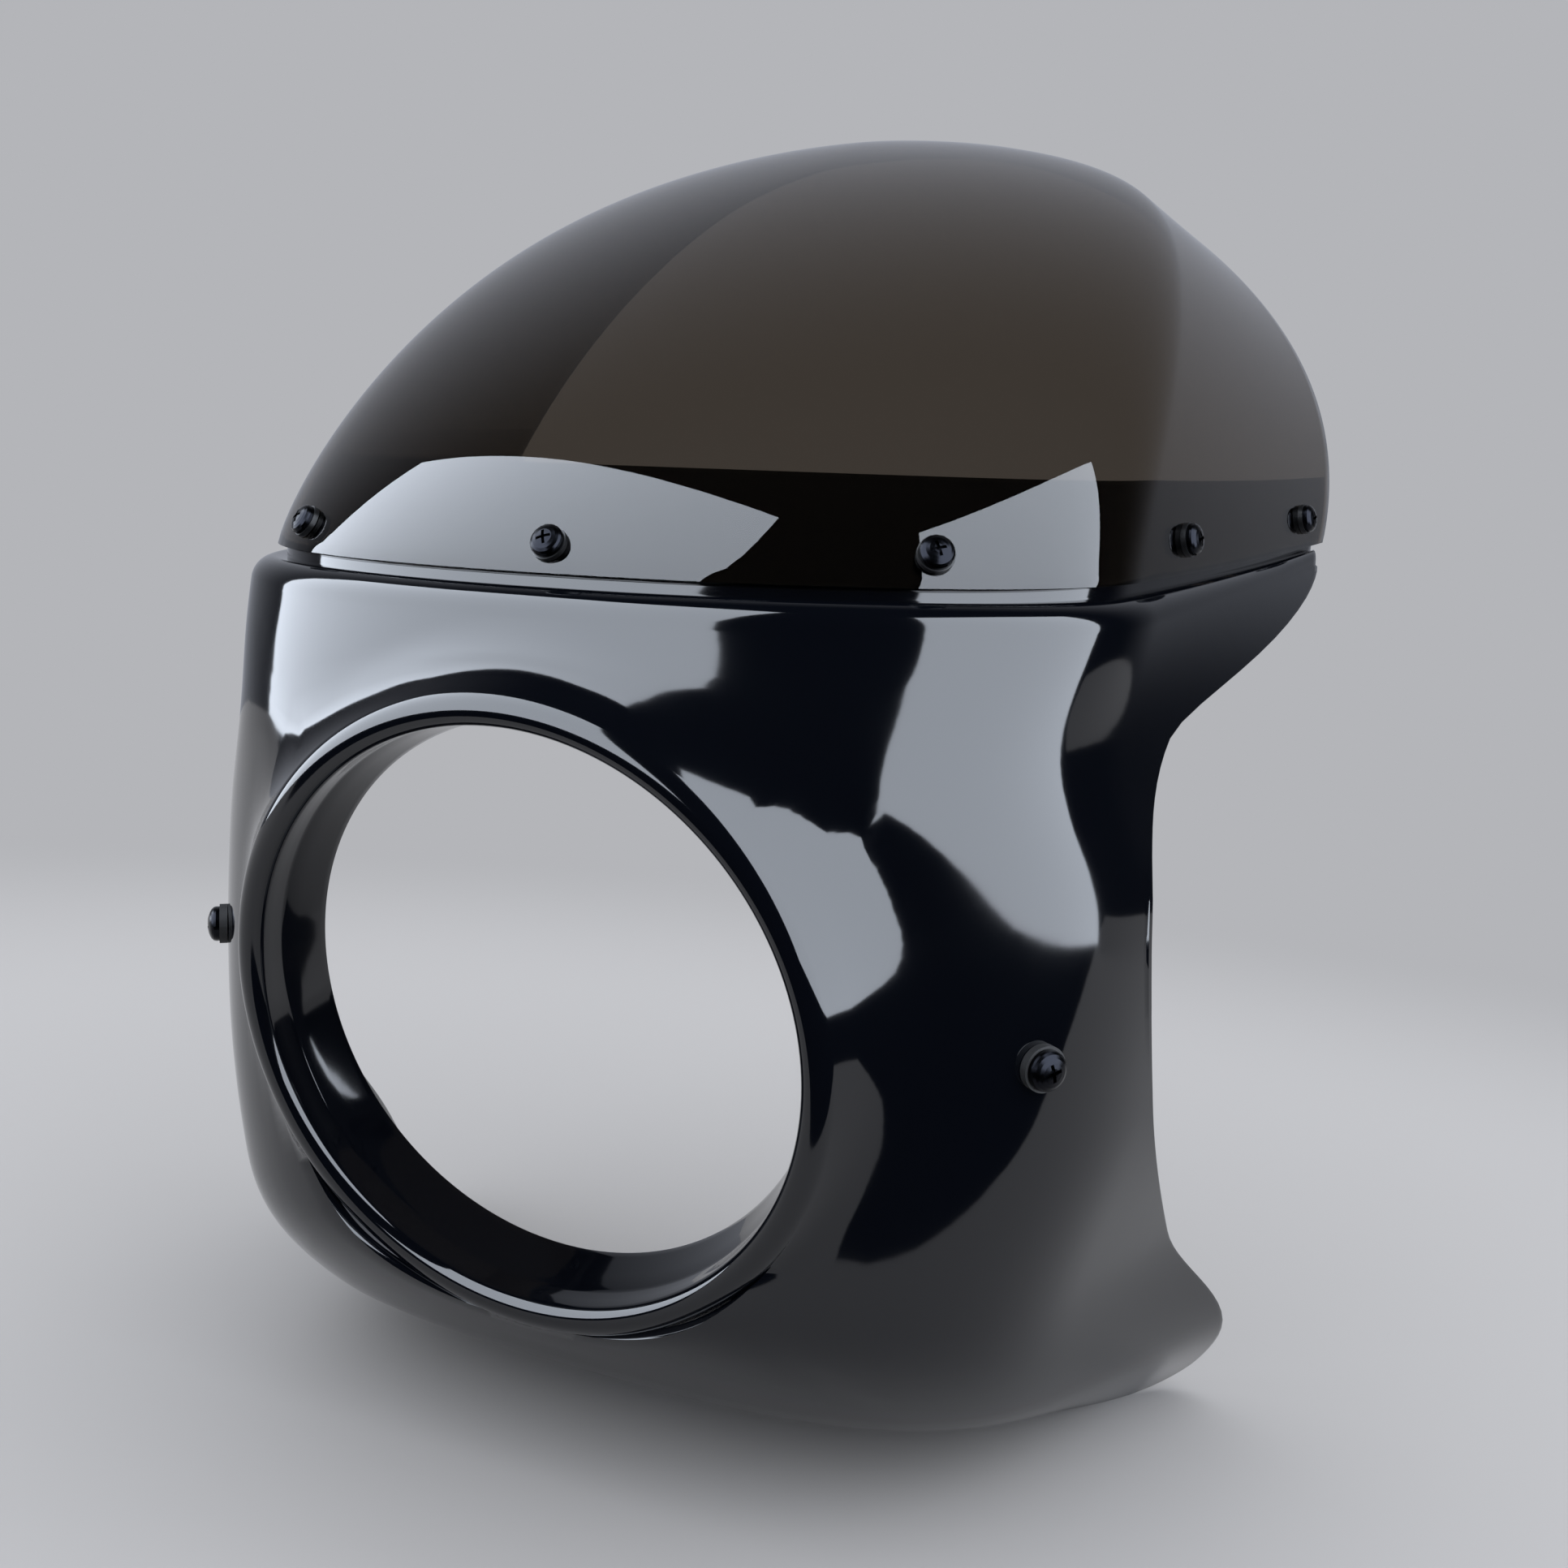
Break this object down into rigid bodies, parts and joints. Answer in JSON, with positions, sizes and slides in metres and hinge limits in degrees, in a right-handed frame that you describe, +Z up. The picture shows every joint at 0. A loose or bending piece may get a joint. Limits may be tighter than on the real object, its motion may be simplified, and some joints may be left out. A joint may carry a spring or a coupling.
{
  "type": "headlight cowl",
  "caption": "Motorbike headlight cowl: a gloss black moulded shell with a round lamp opening and a smoked bubble screen screwed on top.",
  "frame": {"origin": "on the ground under the middle of the cowl's box", "axes": "+Z up as it stands, -Y towards the front with the lamp opening, +X the rider's left"},
  "size_m": [0.3764, 0.3143, 0.4899],
  "materials": {
    "shell_black": "moulded ABS, polished gloss",
    "screen_smoke": "smoked clear acrylic, gloss",
    "screw_black": "black coated steel, semi-gloss",
    "washer_black": "black nylon, satin",
    "rubber": "black rubber, matt",
    "steel": "zinc plated steel"
  },
  "bodies": {
    "root": {"cowl_shell": "shell_black", "windscreen": "screen_smoke", "screen_screws": "screw_black", "screen_head_washers": "washer_black", "screen_inner_washers": "steel", "screen_nuts": "steel", "side_screws": "screw_black", "side_rubber_washers": "rubber", "side_inner_washers": "steel", "side_nuts": "steel"}
  },
  "joints": []
}
